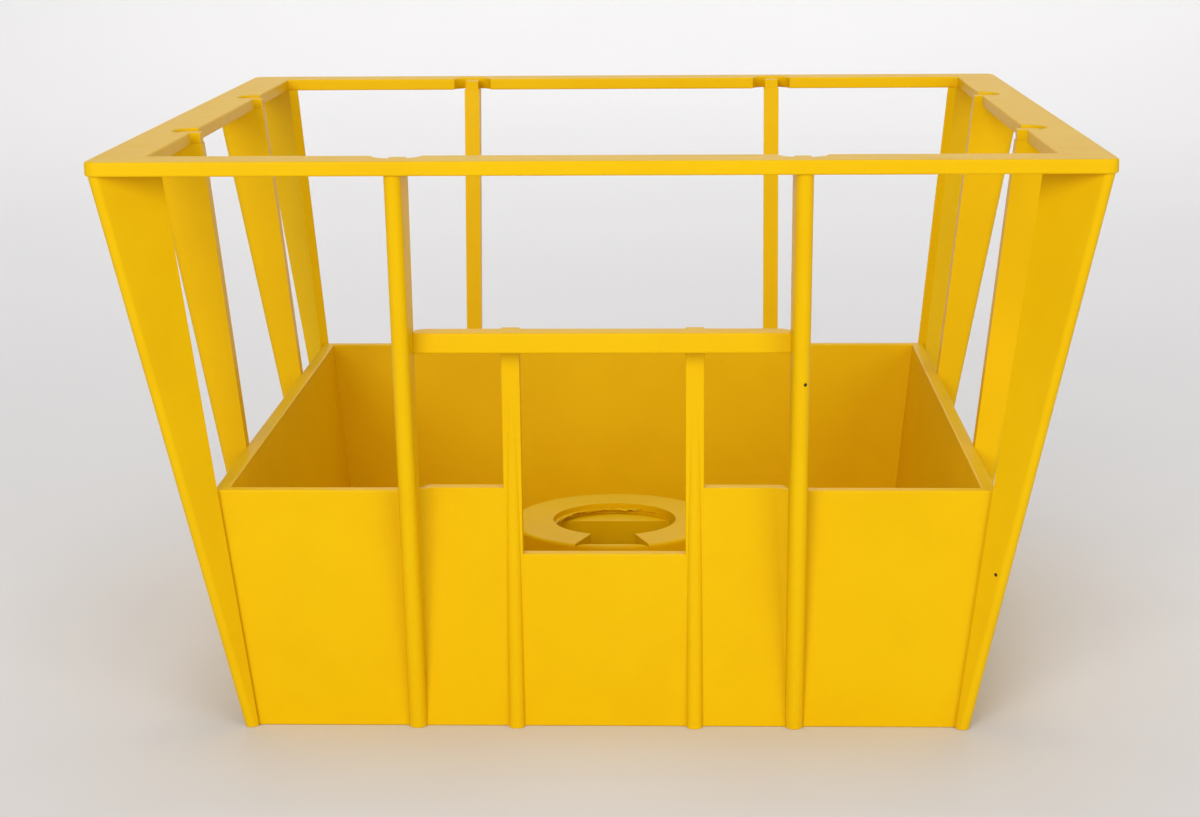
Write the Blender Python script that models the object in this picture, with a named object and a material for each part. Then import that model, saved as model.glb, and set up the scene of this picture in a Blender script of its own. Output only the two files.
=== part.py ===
"""Open-window cabin frame: one plastic moulding, split into its named members.

A square cabin shell: low walls and a floor with a tall slotted collar, posts that lean
outwards from the base, a flat rail round the top, and a doorway bay in the front
with two short posts and a transom.  The front faces -Y.  Metres, +Z up, origin at
the middle of the base.

Three leaning lines place every wall and post, as distances from the middle.  The
wall line is the outer face of the low walls, and above the sill each post starts
there.  The edge line is where each post's round outer edge runs.  The bay line is
the outer face of the doorway bay, which stands more upright than the walls.
"""
from math import acos, asin, cos, pi, radians, sin, sqrt

import bmesh
import bpy

MM = 0.001
GAP = 0.3 * MM                    # clearance that touching members keep

HEIGHT = 66.4 * MM
RAIL_THICKNESS = 1.55 * MM
RAIL_HALF = 53.8 * MM             # half the outer width of the top rail
RAIL_WIDTH = 5.6 * MM
RAIL_CORNER = 1.0 * MM
NOTCH_RADIUS = 2.75 * MM          # half-round notch in the rail over each post

WALL_BASE = 40.4 * MM
WALL_LEAN = 0.107                 # how far the line moves out per unit of height
EDGE_BASE = 41.35 * MM
EDGE_LEAN = 0.1866
BAY_LEAN = 0.062
BEAD_LEAN = 0.039                 # round front edge of the short door posts
WALL_THICKNESS = 1.6 * MM
SILL = 28.6 * MM

POST_OFFSET = 21.5 * MM           # the two posts of each side, from its middle
POST_ROOT_HALF = 1.05 * MM
POST_TIP_HALF = 0.9 * MM
CORNER_POST_HALF = 0.75 * MM
TONGUE_TOP = HEIGHT - 0.2 * MM    # each post's tongue stands up in its notch
TONGUE_STEP = 0.15 * MM
TONGUE_REACH = 1.85 * MM          # from the rail's inner edge into the notch

BAY_BASE = 20.0 * MM              # half the flat width of the bay at its foot
BAY_TAPER = 0.0385                # how far that half narrows per unit of height
DOOR_POST_OFFSET = 10.15 * MM
DOOR_POST_HALF = 1.04 * MM
DOOR_POST_TOP = 46.7 * MM
DOOR_BEAD_HALF = 0.9 * MM
DOOR_BEAD_TOP = 41.0 * MM         # the bead has run out into the post's flat face
DOOR_SILL = 20.8 * MM
TRANSOM_BOTTOM = 44.6 * MM
TRANSOM_TOP = 46.85 * MM
TRANSOM_FRONT = 46.3 * MM
TRANSOM_DEPTH = 2.75 * MM

FLOOR_TOP = 1.6 * MM
COLLAR_TOP = 13.8 * MM
COLLAR_SEAT = 12.5 * MM           # a seat behind the bore, just below the collar's top
COLLAR_OUTER = 13.2 * MM
COLLAR_INNER = 7.9 * MM
BORE_BACK = 3.6 * MM              # below the seat the bore ends in a flat face here
SLOT_HALF = 2.75 * MM
MOUTH_HALF = 4.6 * MM             # the slot widens to this at the collar's outside
SEAT_OVERLAP = 0.5 * MM           # how far the seat's cutter reaches into the bore

POST_ARC = 8                      # steps round a post's outer edge
COLLAR_ARC = 56
RETURN_ARC = 4
NOTCH_ARC = 10
CORNER_ARC = 3
SHARP_EDGE = radians(35)
THINNEST = 0.02 * MM              # a step or bead never shrinks to nothing

YELLOW = (0.80, 0.46, 0.012, 1.0)
QUARTER = pi / 2
SIDES = {"front": 0.0, "right": QUARTER, "rear": pi, "left": -QUARTER}
CORNERS = {"front_right": radians(45), "rear_right": radians(135),
           "rear_left": radians(-135), "front_left": radians(-45)}


def wall_line(z):
    return WALL_BASE + WALL_LEAN * z


def edge_line(z):
    return EDGE_BASE + EDGE_LEAN * z


def bay_line(z):
    return WALL_BASE + BAY_LEAN * z


def bay_edge(z):
    return BAY_BASE - BAY_TAPER * z


def bead_line(z):
    return EDGE_BASE + BEAD_LEAN * z


def plastic(name):
    """Yellow moulded plastic with a satin finish."""
    material = bpy.data.materials.new(name)
    material.use_nodes = True
    shader = material.node_tree.nodes["Principled BSDF"]
    shader.inputs["Base Color"].default_value = YELLOW
    shader.inputs["Roughness"].default_value = 0.38
    shader.inputs["Metallic"].default_value = 0.0
    return material


def loft(name, sections, turn=0.0):
    """One closed body through outlines that all have the same number of points.

    sections is a list of (height, outline), each outline counter-clockwise from
    above.  turn is the angle about Z that places the member on its own side.
    """
    bm = bmesh.new()
    rings = []
    for z, outline in sections:
        rings.append([bm.verts.new((x, y, z)) for x, y in outline])
    count = len(rings[0])
    for low, high in zip(rings, rings[1:]):
        for i in range(count):
            j = (i + 1) % count
            bm.faces.new((low[i], low[j], high[j], high[i]))
    bm.faces.new(list(reversed(rings[0])))
    bm.faces.new(rings[-1])
    bm.normal_update()
    bmesh.ops.triangulate(bm, faces=bm.faces[:], ngon_method="EAR_CLIP")
    mesh = bpy.data.meshes.new(name)
    bm.to_mesh(mesh)
    bm.free()
    mesh.materials.append(plastic(name + "_plastic"))
    mesh.shade_smooth()
    mesh.set_sharp_from_angle(angle=SHARP_EDGE)
    member = bpy.data.objects.new(name, mesh)
    member.rotation_euler.z = turn
    bpy.context.scene.collection.objects.link(member)
    return member


def prism(name, outline, bottom, top):
    return loft(name, [(bottom, outline), (top, outline)])


def mirrored(outline):
    """The outline reflected left to right, still counter-clockwise."""
    return [(-x, y) for x, y in reversed(outline)]


def angles(start, end, steps):
    return [start + (end - start) * i / steps for i in range(steps + 1)]


def rib(half, start, tip, root_half, middle=0.0):
    """A rib's outline: it stands out towards -Y and ends in a round edge."""
    bulge = min(half, 0.8 * (tip - start))
    outline = [(middle - root_half, -start)]
    for a in angles(-QUARTER, QUARTER, POST_ARC):
        outline.append((middle + half * sin(a), bulge - tip - bulge * cos(a)))
    outline.append((middle + root_half, -start))
    return outline


def post(name, side, offset):
    """A full-height post or mullion, with its tongue in the rail's notch."""
    top = HEIGHT - RAIL_THICKNESS - GAP
    sections = []
    for z in (0.0, top):
        outline = rib(POST_TIP_HALF, wall_line(z) + GAP, edge_line(z), POST_ROOT_HALF, offset)
        sections.append((z, outline))
    tongue = rib(POST_TIP_HALF - TONGUE_STEP, wall_line(top) + GAP + TONGUE_STEP,
                 RAIL_HALF - RAIL_WIDTH + TONGUE_REACH, POST_ROOT_HALF - TONGUE_STEP, offset)
    sections += [(top, tongue), (TONGUE_TOP, tongue)]
    return loft(name, sections, SIDES[side])


def corner_post(corner):
    """A plate on the diagonal.  Its round edge lies on both sides' edge lines."""
    sections = []
    for z in (0.0, HEIGHT - RAIL_THICKNESS - GAP):
        start = wall_line(z) * sqrt(2) + GAP
        tip = edge_line(z) * sqrt(2) - CORNER_POST_HALF * (sqrt(2) - 1)
        sections.append((z, rib(CORNER_POST_HALF, start, tip, CORNER_POST_HALF)))
    return loft("corner_post_" + corner, sections, CORNERS[corner])


def panel(name, line, left, right, top, side="front"):
    """A leaning wall panel.  line, left and right give its place at each height."""
    sections = []
    for z in (0.0, top):
        outer = -line(z)
        inner = outer + WALL_THICKNESS
        sections.append((z, [(left(z), outer), (right(z), outer),
                             (right(z), inner), (left(z), inner)]))
    return loft(name, sections, SIDES[side])


def bay_return(name, is_left):
    """The hollow-rounded step from the face of the bay out to a tall post."""
    outside = POST_OFFSET - GAP / 2
    sections = []
    for z in (0.0, SILL):
        face = bay_line(z)
        inside = bay_edge(z) + GAP
        width = POST_OFFSET - POST_ROOT_HALF - inside
        step = max(wall_line(z) - face, THINNEST)
        back = WALL_THICKNESS - face
        outline = [(inside + width * sin(a), -face - step * (1 - cos(a)))
                   for a in angles(0.0, QUARTER, RETURN_ARC)]
        outline += [(outside, -face - step), (outside, back), (inside, back)]
        sections.append((z, mirrored(outline) if is_left else outline))
    return loft(name, sections)


def door_post(name, middle):
    """A short post: a flat rib in the bay's wall, with a round bead that runs out."""
    sections = []
    for z in (0.0, DOOR_BEAD_TOP, DOOR_POST_TOP):
        face = bay_line(z)
        bulge = max(bead_line(z) - face, THINNEST)
        back = WALL_THICKNESS - face
        outline = [(middle - DOOR_POST_HALF, back), (middle - DOOR_POST_HALF, -face)]
        outline += [(middle + DOOR_BEAD_HALF * sin(a), -face - bulge * cos(a))
                    for a in angles(-QUARTER, QUARTER, POST_ARC)]
        outline += [(middle + DOOR_POST_HALF, -face), (middle + DOOR_POST_HALF, back)]
        sections.append((z, outline))
    return loft(name, sections)


def transom():
    half = POST_OFFSET - POST_ROOT_HALF - GAP
    back = TRANSOM_DEPTH - TRANSOM_FRONT
    outline = [(-half, -TRANSOM_FRONT), (half, -TRANSOM_FRONT), (half, back), (-half, back)]
    return prism("transom", outline, TRANSOM_BOTTOM, TRANSOM_TOP)


def top_rail(side):
    """One side of the top rail, mitred at its ends, with a notch over each post."""
    inner = RAIL_HALF - RAIL_WIDTH
    centre = RAIL_HALF - RAIL_CORNER
    outline = [(-centre + RAIL_CORNER * cos(a), -centre + RAIL_CORNER * sin(a))
               for a in angles(radians(225), radians(270), CORNER_ARC)]
    outline += [(centre + RAIL_CORNER * cos(a), -centre + RAIL_CORNER * sin(a))
                for a in angles(radians(270), radians(315), CORNER_ARC)]
    outline.append((inner, -inner))
    for middle in (POST_OFFSET, -POST_OFFSET):
        outline += [(middle + NOTCH_RADIUS * cos(a), -inner - NOTCH_RADIUS * sin(a))
                    for a in angles(0.0, pi, NOTCH_ARC)]
    outline.append((-inner, -inner))
    mitre = GAP / sqrt(2)
    outline = [(max(min(x, -y - mitre), y + mitre), y) for x, y in outline]
    sections = [(HEIGHT - RAIL_THICKNESS, outline), (HEIGHT, outline)]
    return loft("top_rail_" + side, sections, SIDES[side])


def on_circle(radius, a):
    """A point on a circle about the middle, at an angle from the front."""
    return (radius * sin(a), -radius * cos(a))


def bore_side(start):
    """The right half of the D-shaped bore, from an angle to its flat back."""
    back = acos(-BORE_BACK / COLLAR_INNER)
    return [on_circle(COLLAR_INNER, a) for a in angles(start, back, COLLAR_ARC // 2)]


def cut_away(body, outline, bottom, top):
    """Cut an upright opening with this outline out of a body."""
    cutter = prism(body.name + "_cutter", outline, bottom, top)
    cutter.hide_render = True
    cutter.display_type = "WIRE"
    cut = body.modifiers.new("opening", "BOOLEAN")
    cut.operation = "DIFFERENCE"
    cut.solver = "EXACT"
    cut.object = cutter


def collar():
    """The C-shaped collar: its slot faces the front, and its bore has a flat back."""
    mouth = asin(MOUTH_HALF / COLLAR_OUTER)
    throat = asin(SLOT_HALF / COLLAR_INNER)
    outline = [on_circle(COLLAR_OUTER, a) for a in angles(mouth, 2 * pi - mouth, COLLAR_ARC)]
    side = bore_side(throat)
    outline += [(-x, y) for x, y in side] + side[::-1]
    body = prism("floor_collar", outline, FLOOR_TOP + GAP, COLLAR_TOP)
    back = acos(-BORE_BACK / COLLAR_INNER)
    seat = [on_circle(COLLAR_INNER, a) for a in angles(back, 2 * pi - back, COLLAR_ARC // 2)]
    chord = COLLAR_INNER * sin(back)
    seat += [(-chord, BORE_BACK - SEAT_OVERLAP), (chord, BORE_BACK - SEAT_OVERLAP)]
    cut_away(body, seat, COLLAR_SEAT, COLLAR_TOP + FLOOR_TOP)


def floor_plate():
    """The floor, flush with the base, with the D-shaped bore through it."""
    half = wall_line(0.0) - WALL_THICKNESS - GAP
    plate = prism("floor_plate", [(-half, -half), (half, -half), (half, half), (-half, half)],
                  0.0, FLOOR_TOP)
    side = bore_side(0.0)
    cut_away(plate, side + mirrored(side)[:-1], -FLOOR_TOP, 2 * FLOOR_TOP)


def walls():
    """The low walls: rear and front run to the corners, the sides fit between."""
    def corner_left(z):
        return -wall_line(z)

    def corner_right(z):
        return wall_line(z)

    def side_left(z):
        return GAP + WALL_THICKNESS - wall_line(z)

    def side_right(z):
        return wall_line(z) - WALL_THICKNESS - GAP

    panel("rear_wall", wall_line, corner_left, corner_right, SILL, "rear")
    panel("left_wall", wall_line, side_left, side_right, SILL, "left")
    panel("right_wall", wall_line, side_left, side_right, SILL, "right")
    beside = POST_OFFSET + GAP / 2
    panel("front_wall_left", wall_line, corner_left, lambda z: -beside, SILL)
    panel("front_wall_right", wall_line, lambda z: beside, corner_right, SILL)


def doorway_bay():
    """The upright bay in the front wall, with its short posts and transom."""
    outer = DOOR_POST_OFFSET + DOOR_POST_HALF + GAP
    inner = DOOR_POST_OFFSET - DOOR_POST_HALF - GAP
    panel("bay_panel_left", bay_line, lambda z: -bay_edge(z), lambda z: -outer, SILL)
    panel("bay_panel_right", bay_line, lambda z: outer, bay_edge, SILL)
    panel("door_panel", bay_line, lambda z: -inner, lambda z: inner, DOOR_SILL)
    bay_return("bay_return_left", True)
    bay_return("bay_return_right", False)
    door_post("door_post_left", -DOOR_POST_OFFSET)
    door_post("door_post_right", DOOR_POST_OFFSET)
    transom()


def posts():
    post("front_post_left", "front", -POST_OFFSET)
    post("front_post_right", "front", POST_OFFSET)
    post("rear_mullion_left", "rear", POST_OFFSET)
    post("rear_mullion_right", "rear", -POST_OFFSET)
    post("left_mullion_front", "left", POST_OFFSET)
    post("left_mullion_rear", "left", -POST_OFFSET)
    post("right_mullion_front", "right", -POST_OFFSET)
    post("right_mullion_rear", "right", POST_OFFSET)
    for corner in CORNERS:
        corner_post(corner)


def main():
    for item in list(bpy.data.objects):
        bpy.data.objects.remove(item)
    walls()
    doorway_bay()
    posts()
    for side in SIDES:
        top_rail(side)
    floor_plate()
    collar()


main()
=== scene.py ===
"""Open-window cabin frame in yellow moulded plastic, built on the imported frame."""
from math import pi, radians, sqrt

import bmesh
import bpy
from bpy.props import FloatProperty, FloatVectorProperty, PointerProperty
from bpy.types import Operator, Panel, PropertyGroup
from bpy.utils import register_class, unregister_class
from mathutils import Matrix, Vector


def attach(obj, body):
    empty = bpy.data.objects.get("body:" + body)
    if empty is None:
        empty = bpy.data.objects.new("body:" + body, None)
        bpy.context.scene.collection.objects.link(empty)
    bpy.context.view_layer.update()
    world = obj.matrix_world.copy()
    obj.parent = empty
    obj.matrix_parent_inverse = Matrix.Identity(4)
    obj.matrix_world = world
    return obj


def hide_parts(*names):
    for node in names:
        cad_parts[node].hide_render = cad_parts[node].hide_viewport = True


bl_info = {
    "name": "Cabin Frame",
    "version": (1, 0, 0),
    "blender": (4, 5, 0),
    "location": "3D View > Sidebar > Cabin",
    "description": "Builds the members of a moulded cabin frame, their plastic and a plain stage",
    "category": "Add Mesh",
}

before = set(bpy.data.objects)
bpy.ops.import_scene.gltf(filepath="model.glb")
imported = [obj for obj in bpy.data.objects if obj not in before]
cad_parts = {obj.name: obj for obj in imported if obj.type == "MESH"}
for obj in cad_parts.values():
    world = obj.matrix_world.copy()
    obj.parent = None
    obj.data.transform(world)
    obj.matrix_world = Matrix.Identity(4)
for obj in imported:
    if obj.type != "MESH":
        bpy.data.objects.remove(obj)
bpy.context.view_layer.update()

MM = 0.001
SKIN = 0.08 * MM                  # how far joined members run into each other
HAIR = 0.02 * MM                  # keeps faces that would coincide apart
NEAR = 0.1 * MM                   # two places closer than this count as one
SINK = 0.5 * MM                   # how far a member's end is buried in its neighbour
BODY = "root"
QUARTER = pi / 2
PANEL_CORNER = 1.5 * MM           # rounded top corners of the bay's panels
RETURN_CORNER = 0.9 * MM
HOLLOW_REACH = 96                 # percent of the bay return that its hollow takes up
HOLLOW_PROFILE = 0.12
TONGUE_STEP = 0.15 * MM
TONGUE_REACH = 1.85 * MM          # from the rail's inner edge into the notch
TONGUE_DROP = 0.25 * MM           # below the rail's upper face
FOOT_ROUND = 0.16 * MM
RIB_ROUND = 0.14 * MM             # front edges of a door post's rib
RIB_TOP_ROUND = 0.7 * MM
RIB_PROUD = 0.03 * MM             # how far the rib stands out of the bay's face
BEAD_DEPTH = 1.2 * MM             # how deep the bead runs into its rib
TRANSOM_CORNER = 1.4 * MM         # rear corners, seen from above
TRANSOM_ROUND = 0.26 * MM
RAIL_INNER_CORNER = 0.5 * MM
COLLAR_ROUND = 0.45 * MM
FLASH_DEPTH = 0.6 * MM            # the flash lies this far below the collar's top
FLASH_THICKNESS = 0.15 * MM
FLASH_RAGGED = 0.2 * MM
FLASH_SIDE = 0.5 * MM             # the crescent's inner arc is this far off the middle
FLASH_BACK = 0.6 * MM
# Places in millimetres: burnt specks with their radius, and round marks on the rear wall.
SPECKS = (((22.0, -49.15, 41.7), 0.20), ((43.4, -44.45, 19.3), 0.16))
MARKS = ((-27.0, 5.4), (21.5, 4.2))
MARK_RADIUS = 6.0 * MM
MARK_WIDTH = 0.5 * MM

TURNS = {"front": 0.0, "right": QUARTER, "rear": pi, "left": -QUARTER}
CORNER_TURNS = {"front_right": radians(45), "rear_right": radians(135),
                "rear_left": radians(-135), "front_left": radians(-45)}

# Metres.  Each light has its diameter, its place and the point it faces.
LIGHTS = (("key", 0.55, (-0.30, -0.92, 0.40), (0.0, 0.0, 0.03)),
          ("fill", 0.6, (0.55, -0.80, 0.34), (0.0, 0.0, 0.03)),
          ("top", 0.7, (0.0, 0.15, 0.95), (0.0, 0.0, 0.0)),
          ("backdrop", 0.9, (0.0, 0.75, 1.0), (0.0, 1.45, 0.25)))
FLOOR_HALF = 1.6
FLOOR_BACK = 1.3
FLOOR_THICKNESS = 0.004
BACKDROP_DEPTH = 0.35
BACKDROP_HEIGHT = 1.8
BACKDROP_BEND = 0.7
CAMERA_PLACE = (8.77, -307.45, 95.94)          # millimetres
CAMERA_RIGHT = (0.99944, 0.03271, -0.00727)
CAMERA_BACK = (0.03350, -0.97614, 0.21454)     # from what it looks at towards the camera


def length(name, description, value):
    """A length property whose default is given in millimetres."""
    return FloatProperty(name=name, description=description, default=value * MM,
                         min=0.0, subtype="DISTANCE", unit="LENGTH", precision=5)


def colour(name, description, value):
    return FloatVectorProperty(name=name, description=description, default=value,
                               size=3, min=0.0, max=1.0, subtype="COLOR")


def ratio(name, description, value, low=0.0, high=1.0):
    return FloatProperty(name=name, description=description, default=value,
                         min=low, max=high, precision=4)


class CabinShape(PropertyGroup):
    """Sizes of the cabin's members."""
    height: length("Height", "Base to the top of the rail", 66.4)
    rail_half: length("Rail half width", "Middle to the rail's outer edge", 53.8)
    rail_width: length("Rail width", "Width of the rail's flat", 5.6)
    rail_thickness: length("Rail thickness", "Thickness of the top rail", 1.55)
    rail_corner: length("Rail corner", "Radius of the rail's corners in plan", 1.3)
    notch: length("Notch radius", "Half-round notch over each post", 2.55)
    wall_base: length("Wall base", "Middle to the wall's outer face at the base", 40.4)
    wall_lean: ratio("Wall lean", "How far the wall moves out per unit of height", 0.107)
    wall_thickness: length("Wall thickness", "Thickness of the walls", 1.6)
    sill: length("Sill", "Top of the low walls", 28.6)
    edge_base: length("Edge base", "Middle to a post's outer edge at the base", 41.35)
    edge_lean: ratio("Edge lean", "How far the edge moves out per unit of height", 0.1866)
    post_offset: length("Post offset", "Each post from the middle of its side", 21.5)
    post_root: length("Post root", "Half thickness of a post at the wall", 1.05)
    post_tip: length("Post tip", "Half thickness of a post at its round edge", 0.9)
    corner_half: length("Corner post", "Half thickness of a corner post", 0.75)
    bay_lean: ratio("Bay lean", "How far the bay moves out per unit of height", 0.062)
    bay_base: length("Bay base", "Half the bay's flat width at its foot", 20.3)
    bay_sill: length("Bay sill", "Half the bay's flat width at the sill", 18.9)
    door_offset: length("Door post offset", "Each door post from the middle", 10.15)
    door_half: length("Door post", "Half width of a door post's rib", 1.04)
    door_top: length("Door post top", "Top of the door posts", 46.7)
    bead_half: length("Bead", "Half width of a door post's round bead", 0.9)
    bead_lean: ratio("Bead lean", "How far the bead moves out per unit of height", 0.039)
    bead_top: length("Bead top", "Where the bead has sunk into the rib", 42.0)
    door_sill: length("Door panel top", "Top of the panel in the doorway", 20.8)
    transom_low: length("Transom bottom", "Underside of the transom", 44.6)
    transom_high: length("Transom top", "Top of the transom", 46.85)
    transom_front: length("Transom front", "Middle to the transom's front face", 46.3)
    transom_depth: length("Transom depth", "Front to back of the transom", 3.1)
    floor_top: length("Floor top", "Top of the floor", 1.6)
    collar_top: length("Collar top", "Top of the collar", 13.8)
    collar_outer: length("Collar outer radius", "Outer radius of the collar", 13.2)
    collar_inner: length("Collar inner radius", "Inner radius of the collar", 7.9)
    collar_seat: length("Collar seat", "Height of the seat behind the bore", 12.5)
    bore_back: length("Bore back", "Middle to the bore's flat rear face", 3.6)
    slot_half: length("Slot", "Half width of the slot at the bore", 2.75)
    mouth_half: length("Slot mouth", "Half width of the slot outside", 4.6)
    edge_round: length("Edge rounding", "Rounding on the moulding's edges", 0.22)


class CabinFinish(PropertyGroup):
    """Colours and finish of the plastic."""
    yellow: colour("Yellow", "The plastic's colour", (0.79, 0.465, 0.0))
    pale: colour("Pale yellow", "Where the plastic flowed thin", (0.81, 0.50, 0.001))
    deep: colour("Deep yellow", "Where the plastic is thick", (0.75, 0.42, 0.0))
    speck: colour("Speck", "Burnt specks in the plastic", (0.03, 0.015, 0.008))
    roughness: ratio("Roughness", "Roughness of the satin faces", 0.42)
    grain: ratio("Grain", "Depth of the moulded grain", 0.12)


class CabinStage(PropertyGroup):
    """The floor, the lights and the camera."""
    paper: colour("Floor", "Colour of the floor and backdrop", (0.77, 0.76, 0.76))
    key: FloatProperty(name="Key light", description="Power of the soft key light",
                       default=5.25, min=0.0, unit="POWER")
    fill: FloatProperty(name="Fill light", description="Power of the fill light",
                        default=2.75, min=0.0, unit="POWER")
    top: FloatProperty(name="Top light", description="Power of the overhead light",
                       default=1.9, min=0.0, unit="POWER")
    backdrop: FloatProperty(name="Backdrop light", description="Power of the backdrop's light",
                            default=7.0, min=0.0, unit="POWER")
    sky: FloatProperty(name="Sky", description="Strength of the even light from all round",
                       default=0.37, min=0.0)
    lens: FloatProperty(name="Lens", description="Focal length of the camera",
                        default=73.8, min=1.0, unit="CAMERA")


# ---------------------------------------------------------------- modelling


def clear():
    """Leave edit mode and deselect everything."""
    active = bpy.context.view_layer.objects.active
    if active is not None and active.mode != "OBJECT":
        bpy.ops.object.mode_set(mode="OBJECT")
    bpy.ops.object.select_all(action="DESELECT")


def only(*pieces):
    """Select just these pieces.  The first one is active."""
    clear()
    for piece in pieces:
        piece.select_set(True)
    bpy.context.view_layer.objects.active = pieces[0]


def place(piece):
    """Put the piece's position, turn and scale into its mesh."""
    only(piece)
    bpy.ops.object.transform_apply(location=True, rotation=True, scale=True)


def block(name, low, high):
    """A cube primitive that fills the box from low to high."""
    clear()
    centre = [(a + b) / 2 for a, b in zip(low, high)]
    size = [b - a for a, b in zip(low, high)]
    bpy.ops.mesh.primitive_cube_add(size=1, location=centre, scale=size)
    piece = bpy.context.object
    piece.name = name
    piece.data.name = name
    place(piece)
    return piece


def pillar(name, radius, low, high, x=0.0, y=0.0, sides=96):
    """A cylinder primitive standing between two heights."""
    clear()
    bpy.ops.mesh.primitive_cylinder_add(vertices=sides, radius=radius, depth=high - low,
                                        location=(x, y, (low + high) / 2))
    piece = bpy.context.object
    piece.name = name
    piece.data.name = name
    place(piece)
    return piece


def choose(piece, kind, test):
    """Enter edit mode with the vertices, edges or faces that pass the test."""
    only(piece)
    bpy.ops.object.mode_set(mode="EDIT")
    bpy.ops.mesh.select_mode(type=kind)
    bpy.ops.mesh.select_all(action="DESELECT")
    bm = bmesh.from_edit_mesh(piece.data)
    bm.normal_update()
    items = {"VERT": bm.verts, "EDGE": bm.edges, "FACE": bm.faces}[kind]
    count = 0
    for item in items:
        if test(item):
            item.select_set(True)
            count += 1
    bmesh.update_edit_mesh(piece.data)
    if not count:
        raise RuntimeError("nothing to shape on " + piece.name)


def done():
    bpy.ops.object.mode_set(mode="OBJECT")


def shift(piece, test, move):
    """Move the vertices that pass the test."""
    choose(piece, "VERT", lambda v: test(v.co))
    bpy.ops.transform.translate(value=move)
    done()


def spread(piece, test, factor, centre):
    """Scale the vertices that pass the test about a centre."""
    choose(piece, "VERT", lambda v: test(v.co))
    bpy.ops.transform.resize(value=factor, center_override=centre)
    done()


def raised(point):
    """Whether a point is above the base."""
    return point.z > MM


def every(item):
    return True


def edge_mid(edge):
    return (edge.verts[0].co + edge.verts[1].co) / 2


def edge_way(edge):
    return (edge.verts[1].co - edge.verts[0].co).normalized()


def upright(edge):
    return abs(edge_way(edge).z) > 0.8


def round_edges(piece, test, radius, steps=3, profile=0.5):
    """Bevel the edges that pass the test."""
    choose(piece, "EDGE", test)
    bpy.ops.mesh.bevel(offset=radius, segments=steps, profile=profile, affect="EDGES",
                       clamp_overlap=True)
    done()


def trim(piece, point, normal):
    """Cut the piece with a plane, drop the side the normal points to, close the cut."""
    choose(piece, "FACE", every)
    bpy.ops.mesh.bisect(plane_co=point, plane_no=normal, use_fill=True, clear_outer=True)
    done()


def apply_all(piece):
    only(piece)
    for modifier in list(piece.modifiers):
        bpy.ops.object.modifier_apply(modifier=modifier.name)


def cut(piece, tool):
    """Cut the piece with a tool and throw the tool away."""
    modifier = piece.modifiers.new("Cut", "BOOLEAN")
    modifier.operation = "DIFFERENCE"
    modifier.solver = "EXACT"
    modifier.object = tool
    apply_all(piece)
    bpy.data.objects.remove(tool)


def soften(piece, width, limit=35, steps=2):
    """Round every edge that is sharper than the limit."""
    modifier = piece.modifiers.new("Rounding", "BEVEL")
    modifier.width = width
    modifier.segments = steps
    modifier.limit_method = "ANGLE"
    modifier.angle_limit = radians(limit)
    apply_all(piece)


def smooth(piece, limit=35):
    only(piece)
    bpy.ops.object.shade_smooth_by_angle(angle=radians(limit))


def copy_of(piece, name):
    only(piece)
    bpy.ops.object.duplicate(linked=False)
    copied = bpy.context.object
    copied.name = name
    copied.data.name = name
    return copied


def turn(piece, angle):
    piece.rotation_euler.z = angle
    place(piece)


def mirror(piece, name):
    """A left-hand copy of a right-hand piece."""
    copied = copy_of(piece, name)
    copied.scale.x = -1
    place(copied)
    choose(copied, "FACE", every)
    bpy.ops.mesh.normals_make_consistent(inside=False)
    done()
    return copied


def fit(piece, node):
    """Finish a member: it stands for its node and takes the plastic."""
    smooth(piece)
    weights = piece.modifiers.new("Flat faces", "WEIGHTED_NORMAL")
    weights.keep_sharp = True
    apply_all(piece)
    piece.data.materials.clear()
    piece.data.materials.append(plastic())
    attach(piece, BODY)
    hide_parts(node)
    return piece


def shape():
    return bpy.context.scene.cabin_shape


def wall_line(z):
    return shape().wall_base + shape().wall_lean * z


def edge_line(z):
    return shape().edge_base + shape().edge_lean * z


def bay_line(z):
    return shape().wall_base + shape().bay_lean * z


def bead_line(z):
    return shape().edge_base + shape().bead_lean * z


# ---------------------------------------------------------------- material


class Sum:
    """A value in a node tree.  Python's operators add the Math nodes."""

    def __init__(self, tree, socket):
        self.tree = tree
        self.socket = socket

    def math(self, operation, *others):
        node = self.tree.nodes.new("ShaderNodeMath")
        node.operation = operation
        for slot, value in zip(node.inputs, (self,) + others):
            feed(self.tree, slot, value)
        return Sum(self.tree, node.outputs[0])

    def __add__(self, other):
        return self.math("ADD", other)

    __radd__ = __add__

    def __mul__(self, other):
        return self.math("MULTIPLY", other)

    __rmul__ = __mul__

    def __sub__(self, other):
        return self.math("SUBTRACT", other)

    def __rsub__(self, other):
        return (self * -1.0) + other

    def step(self, low, high):
        """0 below low, 1 above high, smooth between."""
        node = self.tree.nodes.new("ShaderNodeMapRange")
        node.interpolation_type = "SMOOTHSTEP"
        for key, value in (("Value", self), ("From Min", low), ("From Max", high)):
            feed(self.tree, node.inputs[key], value)
        return Sum(self.tree, node.outputs["Result"])


def feed(tree, socket, value):
    if isinstance(value, Sum):
        tree.links.new(value.socket, socket)
    elif hasattr(value, "is_output"):
        tree.links.new(value, socket)
    else:
        socket.default_value = value


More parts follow.
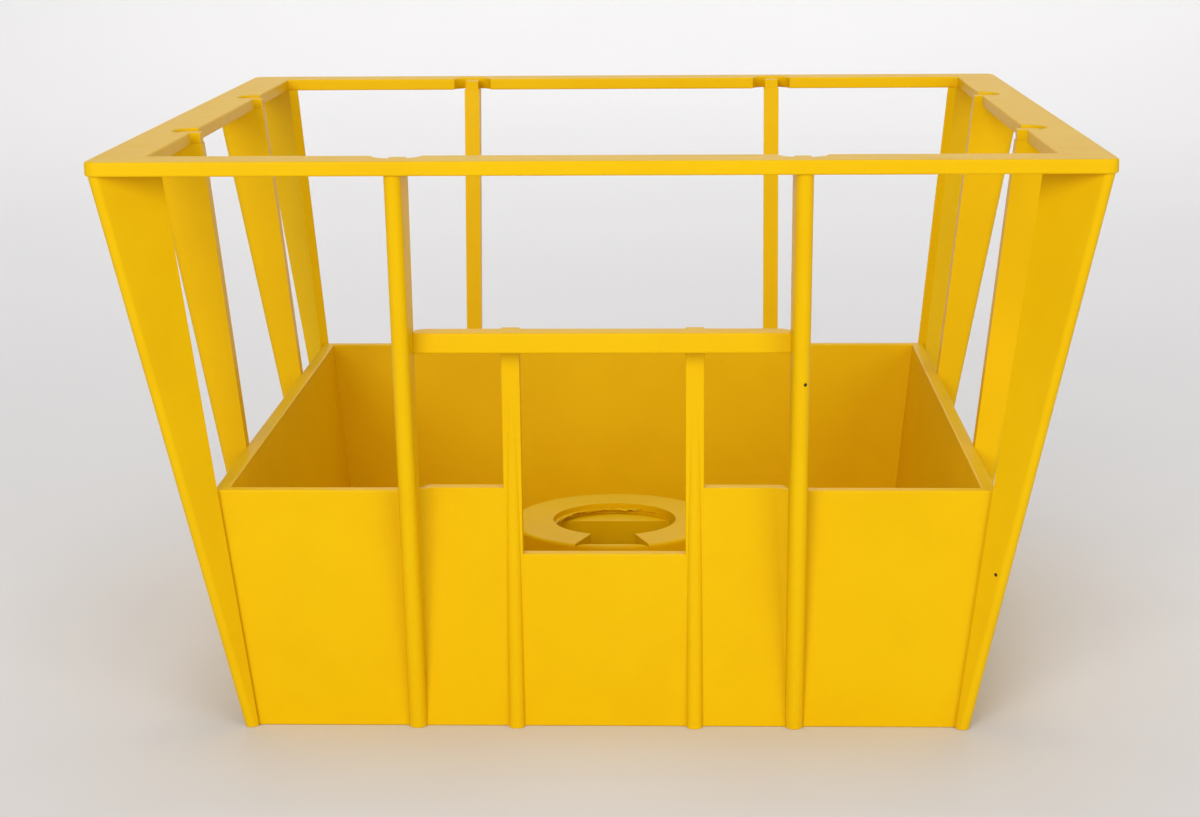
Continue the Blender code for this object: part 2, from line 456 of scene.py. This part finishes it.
class Shop:
    """Adds nodes to one material."""

    def __init__(self, material):
        self.tree = material.node_tree

    def node(self, kind, settings=None, **values):
        made = self.tree.nodes.new(kind)
        for key, value in (settings or {}).items():
            setattr(made, key, value)
        for key, value in values.items():
            feed(self.tree, made.inputs[key.replace("_", " ")], value)
        return made

    def value(self, socket):
        return Sum(self.tree, socket)

    def noise(self, place, scale, detail=2.0, roughness=0.5):
        made = self.node("ShaderNodeTexNoise", Vector=place, Scale=scale, Detail=detail,
                         Roughness=roughness)
        return self.value(made.outputs["Fac"])

    def blend(self, factor, first, second):
        made = self.tree.nodes.new("ShaderNodeMix")
        made.data_type = "RGBA"
        feed(self.tree, made.inputs["Factor"], factor)
        feed(self.tree, made.inputs["A"], first)
        feed(self.tree, made.inputs["B"], second)
        return made.outputs["Result"]

    def near(self, place, point, radius, softness):
        """1 within the radius of a point, 0 outside."""
        gap = self.node("ShaderNodeVectorMath", {"operation": "DISTANCE"})
        feed(self.tree, gap.inputs[0], place)
        gap.inputs[1].default_value = point
        return 1 - self.value(gap.outputs["Value"]).step(radius, radius + softness)


def four(value):
    return (value[0], value[1], value[2], 1.0)


def plastic():
    """Satin yellow moulded plastic, shared by every member."""
    made = bpy.data.materials.get("moulded_yellow")
    if made is not None:
        return made
    look = bpy.context.scene.cabin_finish
    made = bpy.data.materials.new("moulded_yellow")
    made.use_nodes = True
    shop = Shop(made)
    shader = shop.tree.nodes["Principled BSDF"]
    place_node = shop.node("ShaderNodeTexCoord")
    place_of = place_node.outputs["Object"]

    flow = shop.noise(place_of, 28.0, 3.0, 0.55).step(0.36, 0.66)
    cloud = shop.noise(place_of, 95.0, 4.0, 0.6).step(0.42, 0.72)
    grain = shop.noise(place_of, 5200.0, 2.0, 0.6)
    wave = shop.noise(place_of, 420.0, 3.0, 0.55)
    tone = shop.blend(flow * 0.55, four(look.yellow), four(look.pale))
    tone = shop.blend(cloud * 0.35, tone, four(look.deep))
    tone = shop.blend(spots(shop, place_of), tone, four(look.speck))
    feed(shop.tree, shader.inputs["Base Color"], tone)

    worn = shop.noise(place_of, 240.0, 5.0, 0.65).step(0.5, 0.75)
    rough = worn * 0.08 + (grain * 0.06 + (look.roughness - 0.06))
    feed(shop.tree, shader.inputs["Roughness"], rough)

    height = grain * 0.35 + wave * 0.9 + marks(shop, place_of) * 2.0
    bump = shop.node("ShaderNodeBump", Strength=look.grain, Distance=0.00006)
    feed(shop.tree, bump.inputs["Height"], height)
    feed(shop.tree, shader.inputs["Normal"], bump.outputs["Normal"])
    shader.inputs["IOR"].default_value = 1.5
    shader.inputs["Specular IOR Level"].default_value = 0.08
    return made


def spots(shop, place_of):
    """Two burnt specks: on the right tall post and on the right corner post."""
    tall, low = (shop.near(place_of, [c * MM for c in point], radius * MM, NEAR)
                 for point, radius in SPECKS)
    return tall.math("MAXIMUM", low)


def marks(shop, place_of):
    """Two faint round marks low on the inner face of the rear wall."""
    total = 0.0
    for x, z in MARKS:
        middle = (x * MM, 39.8 * MM, z * MM)
        disc = shop.near(place_of, middle, MARK_RADIUS, 2 * NEAR)
        total = disc - shop.near(place_of, middle, MARK_RADIUS - MARK_WIDTH, 2 * NEAR) + total
    return total


# ---------------------------------------------------------------- members


class CABIN_OT_walls(Operator):
    """Model one low wall, copy it round, and cut the front one for the bay"""
    bl_idname = "cabin.walls"
    bl_label = "Walls"

    def execute(self, context):
        s = shape()
        reach = s.rail_half
        wall = block("wall", (-reach, -s.wall_base, 0.0),
                     (reach, s.wall_thickness - s.wall_base, s.sill))
        shift(wall, raised, (0.0, -s.wall_lean * s.sill, 0.0))
        round_edges(wall, lambda e: abs(edge_way(e).x) > 0.9, s.edge_round)
        trim(wall, (0.0, 0.0, 0.0), (1.0, 1.0, 0.0))
        trim(wall, (0.0, 0.0, 0.0), (-1.0, 1.0, 0.0))
        for side in ("rear", "left", "right"):
            made = copy_of(wall, side + "_low_wall")
            turn(made, TURNS[side])
            fit(made, side + "_wall")
        beside = s.post_offset - SINK + NEAR
        right = copy_of(wall, "front_low_wall_right")
        trim(right, (beside, 0.0, 0.0), (-1.0, 0.0, 0.0))
        fit(right, "front_wall_right")
        fit(mirror(right, "front_low_wall_left"), "front_wall_left")
        bpy.data.objects.remove(wall)
        return {"FINISHED"}


class CABIN_OT_bay(Operator):
    """Model the doorway bay's panels and its hollow-rounded returns"""
    bl_idname = "cabin.bay"
    bl_label = "Doorway bay"

    def execute(self, context):
        s = shape()
        back = s.wall_thickness - s.wall_base
        lean = (0.0, -s.bay_lean * s.sill, 0.0)
        root = s.post_offset - SINK

        side = block("bay_side_panel_right", (s.door_offset, -s.wall_base, 0.0),
                     (root, back, s.sill))
        shift(side, raised, lean)
        round_edges(side, lambda e: abs(edge_way(e).y) > 0.9 and edge_mid(e).x > s.bay_sill
                    and edge_mid(e).z > s.door_sill, PANEL_CORNER, steps=6)
        round_edges(side, lambda e: not upright(e) and abs(edge_way(e).y) < 0.5
                    and edge_mid(e).z > s.door_sill, s.edge_round)
        self.foot(side)
        fit(side, "bay_panel_right")
        fit(mirror(side, "bay_side_panel_left"), "bay_panel_left")

        door = block("doorway_panel", (-s.door_offset, -s.wall_base, 0.0),
                     (s.door_offset, back, s.door_sill))
        shift(door, raised, (0.0, -s.bay_lean * s.door_sill, 0.0))
        round_edges(door, lambda e: abs(edge_way(e).x) > 0.9, s.edge_round)
        fit(door, "door_panel")

        step = block("bay_return_right", (s.bay_base, -s.wall_base - HAIR, 0.0),
                     (root, SKIN - s.wall_base, s.sill))
        shift(step, raised, lean)
        shift(step, lambda p: raised(p) and p.x < root - NEAR,
              (s.bay_sill - s.bay_base, 0.0, 0.0))
        shift(step, lambda p: raised(p) and p.y < -bay_line(s.sill),
              (0.0, (s.bay_lean - s.wall_lean) * s.sill, 0.0))
        self.hollow(step)
        round_edges(step, lambda e: abs(edge_way(e).y) > 0.6 and edge_mid(e).x > s.bay_sill
                    and edge_mid(e).z > s.sill - MM, RETURN_CORNER, steps=5)
        fit(step, "bay_return_right")
        fit(mirror(step, "bay_return_left"), "bay_return_left")
        return {"FINISHED"}

    def foot(self, piece):
        round_edges(piece, lambda e: abs(edge_way(e).x) > 0.9 and edge_mid(e).z < MM,
                    shape().edge_round)

    def hollow(self, piece):
        """Hollow the front inner edge right across both faces that meet there."""
        def front_inner(edge):
            mid = edge_mid(edge)
            return upright(edge) and mid.x < shape().bay_base and mid.y < -bay_line(mid.z)

        choose(piece, "EDGE", front_inner)
        bpy.ops.mesh.bevel(offset_type="PERCENT", offset_pct=HOLLOW_REACH, segments=8,
                           profile=HOLLOW_PROFILE,
                           affect="EDGES")
        done()


def tall_post(name, half_root, half_tip, tip_scale, offset, tongue):
    """A leaning fin with a round outer edge, standing at the front."""
    s = shape()
    top = s.height - s.rail_thickness + SKIN
    post = block(name, (offset - half_root, -edge_line(0.0) * tip_scale, 0.0),
                 (offset + half_root, SKIN - wall_line(0.0) * tip_scale, top))
    shift(post, raised, (0.0, -s.wall_lean * top * tip_scale, 0.0))
    middle = -(edge_line(0.0) + wall_line(0.0)) / 2 * tip_scale
    lean = s.wall_lean * top * tip_scale
    shift(post, lambda p: raised(p) and p.y < middle - lean,
          (0.0, -(s.edge_lean - s.wall_lean) * top * tip_scale, 0.0))
    if half_tip < half_root:
        spread(post, lambda p: p.y < middle and (p.z < MM or p.y < middle - lean),
               (half_tip / half_root, 1.0, 1.0), (offset, 0.0, 0.0))
    round_edges(post, lambda e: upright(e) and edge_mid(e).y < middle - lean / 2,
                half_tip * 0.97, steps=7)
    if tongue:
        add_tongue(post, offset, top)
    round_edges(post, lambda e: not upright(e) and edge_mid(e).z < NEAR,
                FOOT_ROUND, steps=2)
    return post


def add_tongue(post, offset, top):
    """Raise the post's tongue into its notch in the rail."""
    s = shape()
    inner = -wall_line(top)
    choose(post, "FACE", lambda f: f.normal.z > 0.9 and f.calc_center_median().z > top - MM)
    bpy.ops.mesh.inset(thickness=TONGUE_STEP)
    reach = s.rail_half - s.rail_width + TONGUE_REACH
    depth = (reach + inner) / (edge_line(top) + inner)
    bpy.ops.transform.resize(value=(1.0, depth, 1.0), center_override=(offset, inner, top))
    bpy.ops.mesh.extrude_region_move(
        TRANSFORM_OT_translate={"value": (0.0, 0.0, s.height - TONGUE_DROP - top)})
    done()


class CABIN_OT_posts(Operator):
    """Model the tall post once and stand a copy at each place"""
    bl_idname = "cabin.posts"
    bl_label = "Posts and mullions"

    def execute(self, context):
        s = shape()
        places = {
            "front_post_left": ("front", -1), "front_post_right": ("front", 1),
            "rear_mullion_left": ("rear", 1), "rear_mullion_right": ("rear", -1),
            "left_mullion_front": ("left", 1), "left_mullion_rear": ("left", -1),
            "right_mullion_front": ("right", -1), "right_mullion_rear": ("right", 1),
        }
        post = tall_post("post", s.post_root, s.post_tip, 1.0, 0.0, True)
        for node, (side, hand) in places.items():
            made = copy_of(post, node.replace("post", "upright").replace("mullion", "bar"))
            made.location.x = hand * s.post_offset
            place(made)
            turn(made, TURNS[side])
            fit(made, node)
        bpy.data.objects.remove(post)
        return {"FINISHED"}


class CABIN_OT_corner_posts(Operator):
    """Model the diagonal plate once and stand a copy at each corner"""
    bl_idname = "cabin.corner_posts"
    bl_label = "Corner posts"

    def execute(self, context):
        s = shape()
        plate = tall_post("plate", s.corner_half, s.corner_half, sqrt(2), 0.0, False)
        shift(plate, lambda p: p.y < -(wall_line(p.z) + 3 * NEAR) * sqrt(2),
              (0.0, s.corner_half * (sqrt(2) - 1), 0.0))
        for corner, angle in CORNER_TURNS.items():
            made = copy_of(plate, "corner_plate_" + corner)
            turn(made, angle)
            fit(made, "corner_post_" + corner)
        bpy.data.objects.remove(plate)
        return {"FINISHED"}


class CABIN_OT_door_posts(Operator):
    """Model the short door post: a flat rib with a round bead that runs out"""
    bl_idname = "cabin.door_posts"
    bl_label = "Door posts"

    def execute(self, context):
        s = shape()
        x = s.door_offset
        back = s.wall_thickness - s.wall_base
        rib = block("door_upright_right", (x - s.door_half, -s.wall_base - RIB_PROUD, 0.0),
                    (x + s.door_half, back, s.door_top))
        shift(rib, raised, (0.0, -s.bay_lean * s.door_top, 0.0))
        round_edges(rib, lambda e: upright(e) and edge_mid(e).y < -s.wall_base, RIB_ROUND)
        round_edges(rib, lambda e: edge_mid(e).z > s.door_top - NEAR, RIB_TOP_ROUND,
                    steps=5)

        bead = block("bead", (x - s.bead_half, -bead_line(0.0), HAIR),
                     (x + s.bead_half, BEAD_DEPTH - s.wall_base, s.bead_top))
        shift(bead, lambda p: raised(p) and p.y < -bay_line(0.0),
              (0.0, -s.bead_lean * s.bead_top, 0.0))
        shift(bead, lambda p: raised(p) and p.y > -bay_line(0.0),
              (0.0, -s.bay_lean * s.bead_top, 0.0))
        round_edges(bead, lambda e: upright(e) and edge_mid(e).y < NEAR
                    - bay_line(edge_mid(e).z), s.bead_half * 0.96, steps=7)
        only(rib, bead)
        bpy.ops.object.join()
        fit(rib, "door_post_right")
        fit(mirror(rib, "door_upright_left"), "door_post_left")
        return {"FINISHED"}


class CABIN_OT_transom(Operator):
    """Model the transom over the doorway"""
    bl_idname = "cabin.transom"
    bl_label = "Transom"

    def execute(self, context):
        s = shape()
        half = s.post_offset - s.post_tip
        bar = block("door_transom", (-half, -s.transom_front, s.transom_low),
                    (half, s.transom_depth - s.transom_front, s.transom_high))
        round_edges(bar, lambda e: upright(e) and edge_mid(e).y > -s.transom_front + MM,
                    TRANSOM_CORNER, steps=6)
        soften(bar, TRANSOM_ROUND, limit=40, steps=3)
        fit(bar, "transom")
        return {"FINISHED"}


class CABIN_OT_rail(Operator):
    """Model the top rail as one ring, notch it, and mitre it into four"""
    bl_idname = "cabin.rail"
    bl_label = "Top rail"

    def execute(self, context):
        s = shape()
        low = s.height - s.rail_thickness
        inner = s.rail_half - s.rail_width
        ring = block("rail_ring", (-s.rail_half, -s.rail_half, low),
                     (s.rail_half, s.rail_half, s.height))
        hole = block("rail_hole", (-inner, -inner, low - MM), (inner, inner, s.height + MM))
        round_edges(hole, upright, RAIL_INNER_CORNER, steps=4)
        round_edges(ring, upright, s.rail_corner, steps=8)
        cut(ring, hole)
        for angle in TURNS.values():
            for hand in (-1, 1):
                notch = pillar("notch", s.notch, low - MM, s.height + MM,
                               hand * s.post_offset, -inner, sides=64)
                turn(notch, angle)
                cut(ring, notch)
        soften(ring, s.edge_round, limit=40, steps=3)
        for side, angle in TURNS.items():
            rail = copy_of(ring, "roof_rail_" + side)
            turn(rail, -angle)
            trim(rail, (0.0, 0.0, 0.0), (1.0, 1.0, 0.0))
            trim(rail, (0.0, 0.0, 0.0), (-1.0, 1.0, 0.0))
            turn(rail, angle)
            fit(rail, "top_rail_" + side)
        bpy.data.objects.remove(ring)
        return {"FINISHED"}


def slot_tool(name, low, high):
    """A tool for the slot: parallel at the bore, wider at the collar's outside."""
    s = shape()
    throat = -sqrt(s.collar_inner ** 2 - s.slot_half ** 2)
    mouth = -sqrt(s.collar_outer ** 2 - s.mouth_half ** 2)
    tool = block(name, (-s.slot_half, mouth, low), (s.slot_half, throat, high))
    spread(tool, lambda p: p.y < (mouth + throat) / 2,
           (s.mouth_half / s.slot_half, 1.0, 1.0), (0.0, mouth, 0.0))
    return tool


def bore_tool(low, high):
    """A tool for the bore: round, with a flat back."""
    s = shape()
    tool = pillar("bore", s.collar_inner - HAIR, low, high)
    trim(tool, (0.0, s.bore_back, 0.0), (0.0, 1.0, 0.0))
    return tool


class CABIN_OT_floor(Operator):
    """Model the floor and cut its bore"""
    bl_idname = "cabin.floor"
    bl_label = "Floor"

    def execute(self, context):
        s = shape()
        half = wall_line(0.0) - s.wall_thickness + SINK
        plate = block("cabin_floor", (-half, -half, HAIR), (half, half, s.floor_top))
        cut(plate, bore_tool(-MM, s.floor_top + MM))
        fit(plate, "floor_plate")
        return {"FINISHED"}


class CABIN_OT_collar(Operator):
    """Model the slotted collar and the flash left in its bore"""
    bl_idname = "cabin.collar"
    bl_label = "Collar"

    def execute(self, context):
        s = shape()
        low = s.floor_top - NEAR / 2
        ring = pillar("slotted_collar", s.collar_outer, low, s.collar_top, sides=128)
        round_edges(ring, lambda e: not upright(e) and edge_mid(e).z > s.collar_top - NEAR,
                    COLLAR_ROUND, steps=5)
        cut(ring, pillar("seat", s.collar_inner, s.collar_seat, s.collar_top + MM))
        cut(ring, bore_tool(low - MM, s.collar_top + MM))
        cut(ring, slot_tool("slot", low - MM, s.collar_top + MM))
        self.flash(ring)
        fit(ring, "floor_collar")
        return {"FINISHED"}

    def flash(self, ring):
        """A crescent of thin, ragged flash along the rear left of the bore."""
        s = shape()
        high = s.collar_top - FLASH_DEPTH
        flash = pillar("flash", s.collar_inner + NEAR, high - FLASH_THICKNESS, high)
        cut(flash, pillar("clear", s.collar_inner, high - MM, high + MM,
                          FLASH_SIDE, -FLASH_BACK, sides=72))
        choose(flash, "VERT", lambda v: v.co.xy.length < s.collar_inner - NEAR)
        bpy.ops.transform.vertex_random(offset=FLASH_RAGGED, uniform=0.5, seed=7)
        done()
        only(ring, flash)
        bpy.ops.object.join()


# ---------------------------------------------------------------- stage


class CABIN_OT_stage(Operator):
    """Set up the floor, the backdrop, the lights and the camera"""
    bl_idname = "cabin.stage"
    bl_label = "Stage"

    def execute(self, context):
        stage = context.scene.cabin_stage
        floor = block("stage_floor", (-FLOOR_HALF, -FLOOR_HALF, -FLOOR_THICKNESS),
                      (FLOOR_HALF, FLOOR_BACK, 0.0))
        choose(floor, "FACE", lambda f: f.normal.y > 0.9)
        bpy.ops.mesh.extrude_region_move(
            TRANSFORM_OT_translate={"value": (0.0, BACKDROP_DEPTH, 0.0)})
        done()
        choose(floor, "FACE", lambda f: f.normal.z > 0.9
               and f.calc_center_median().y > FLOOR_BACK)
        bpy.ops.mesh.extrude_region_move(
            TRANSFORM_OT_translate={"value": (0.0, 0.0, BACKDROP_HEIGHT)})
        done()
        round_edges(floor, lambda e: abs(edge_way(e).x) > 0.9 and abs(edge_mid(e).z) < MM
                    and abs(edge_mid(e).y - FLOOR_BACK) < MM, BACKDROP_BEND, steps=24)
        smooth(floor)
        floor.data.materials.append(self.paper(stage))
        for key, size, place_at, aim in LIGHTS:
            self.light(key + "_light", getattr(stage, key), size, place_at, aim)
        self.sky(context, stage)
        self.camera(context, stage)
        context.scene.view_settings.view_transform = "Standard"
        return {"FINISHED"}

    def paper(self, stage):
        made = bpy.data.materials.new("stage_paper")
        made.use_nodes = True
        shop = Shop(made)
        shader = shop.tree.nodes["Principled BSDF"]
        place_of = shop.node("ShaderNodeTexCoord").outputs["Object"]
        mottle = shop.noise(place_of, 3.0, 3.0).step(0.3, 0.7)
        dull = tuple(0.97 * c for c in stage.paper)
        tone = shop.blend(mottle, four(stage.paper), four(dull))
        feed(shop.tree, shader.inputs["Base Color"], tone)
        shader.inputs["Roughness"].default_value = 0.85
        shader.inputs["Specular IOR Level"].default_value = 0.2
        return made

    def light(self, name, power, size, place_at, aim):
        clear()
        bpy.ops.object.light_add(type="AREA", location=place_at)
        lamp = bpy.context.object
        lamp.name = name
        lamp.data.energy = power
        lamp.data.shape = "DISK"
        lamp.data.size = size
        way = Vector(aim) - Vector(place_at)
        lamp.rotation_euler = way.to_track_quat("-Z", "Y").to_euler()

    def sky(self, context, stage):
        world = bpy.data.worlds.new("stage_sky")
        context.scene.world = world
        world.use_nodes = True
        sky = world.node_tree.nodes["Background"]
        sky.inputs["Color"].default_value = (1.0, 1.0, 1.0, 1.0)
        sky.inputs["Strength"].default_value = stage.sky

    def camera(self, context, stage):
        clear()
        bpy.ops.object.camera_add()
        camera = bpy.context.object
        camera.name = "stage_camera"
        right = Vector(CAMERA_RIGHT)
        back = Vector(CAMERA_BACK)
        right = (right - back * right.dot(back)).normalized()
        back.normalize()
        up = back.cross(right)
        turn_to = Matrix((right, up, back)).transposed().to_4x4()
        camera.matrix_world = Matrix.Translation(Vector(CAMERA_PLACE) * MM) @ turn_to
        camera.data.lens = stage.lens
        camera.data.sensor_width = 36.0
        camera.data.clip_start = 0.01
        camera.data.clip_end = 20.0
        context.scene.camera = camera


MEMBERS = (CABIN_OT_walls, CABIN_OT_bay, CABIN_OT_posts, CABIN_OT_corner_posts,
           CABIN_OT_door_posts, CABIN_OT_transom, CABIN_OT_rail, CABIN_OT_floor,
           CABIN_OT_collar, CABIN_OT_stage)


class CABIN_PT_panel(Panel):
    """Lists the cabin's sizes, its finish and the buttons that build it"""
    bl_idname = "CABIN_PT_panel"
    bl_label = "Cabin Frame"
    bl_space_type = "VIEW_3D"
    bl_region_type = "UI"
    bl_category = "Cabin"

    def draw(self, context):
        column = self.layout.column(align=True)
        for operator in MEMBERS:
            column.operator(operator.bl_idname)
        for group in (context.scene.cabin_shape, context.scene.cabin_finish,
                      context.scene.cabin_stage):
            box = self.layout.box()
            for key in group.__annotations__:
                box.prop(group, key)


CLASSES = (CabinShape, CabinFinish, CabinStage) + MEMBERS + (CABIN_PT_panel,)


def register():
    for made in CLASSES:
        register_class(made)
    bpy.types.Scene.cabin_shape = PointerProperty(type=CabinShape)
    bpy.types.Scene.cabin_finish = PointerProperty(type=CabinFinish)
    bpy.types.Scene.cabin_stage = PointerProperty(type=CabinStage)


def unregister():
    del bpy.types.Scene.cabin_stage
    del bpy.types.Scene.cabin_finish
    del bpy.types.Scene.cabin_shape
    for made in reversed(CLASSES):
        unregister_class(made)


def main():
    register()
    for operator in MEMBERS:
        group, action = operator.bl_idname.split(".")
        getattr(getattr(bpy.ops, group), action)()
    clear()
    bpy.context.view_layer.update()


if __name__ == "__main__":
    main()
